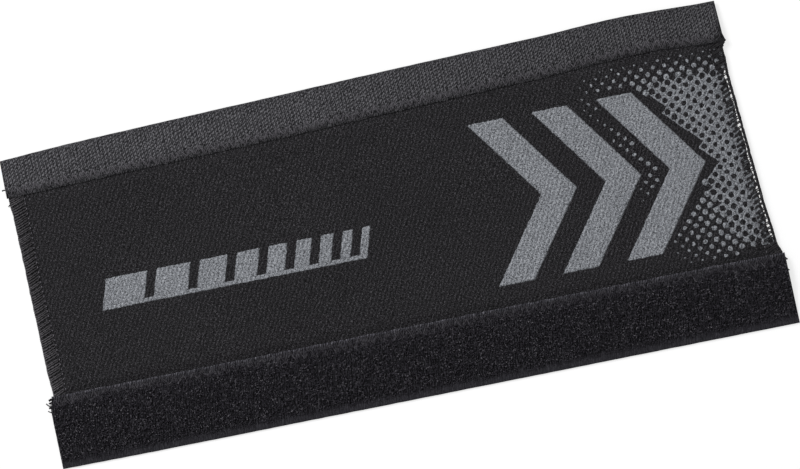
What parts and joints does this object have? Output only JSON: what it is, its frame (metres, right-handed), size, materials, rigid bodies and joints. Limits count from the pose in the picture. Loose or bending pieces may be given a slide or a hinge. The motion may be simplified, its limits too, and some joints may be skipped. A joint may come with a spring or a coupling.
{
  "type": "chainstay protector",
  "caption": "Flat tapered foam wrap with a hook tape and a loop tape along its long edges and overlocked short edges, for covering a bicycle frame tube.",
  "frame": {"origin": "on the flat back of the panel, at the middle of the loop tape's length and about midway across the wrap", "axes": "+X along the wrap, +Y from the loop tape to the hook tape, +Z out of the printed face"},
  "size_m": [0.2644, 0.1171, 0.0044],
  "materials": {
    "knit_foam": "black knitted face on foam rubber, matt, with a fine diagonal grain",
    "hook_tape": "dark grey woven nylon, matt, with a fine twill",
    "loop_tape": "black brushed loop pile with a plain woven edge",
    "sewing_thread": "black twisted polyester thread, slight sheen",
    "print_ink": "grey screen-printed ink, matt, broken by the knit under it"
  },
  "bodies": {
    "root": {"neoprene_panel": "knit_foam", "hook_tape": "hook_tape", "loop_tape": "loop_tape", "overlock_thread_left": "sewing_thread", "overlock_thread_right": "sewing_thread", "hook_seam_thread": "sewing_thread", "loop_seam_thread": "sewing_thread", "printed_bars": "print_ink", "printed_chevron_1": "print_ink", "printed_chevron_2": "print_ink", "printed_chevron_3": "print_ink"}
  },
  "joints": []
}
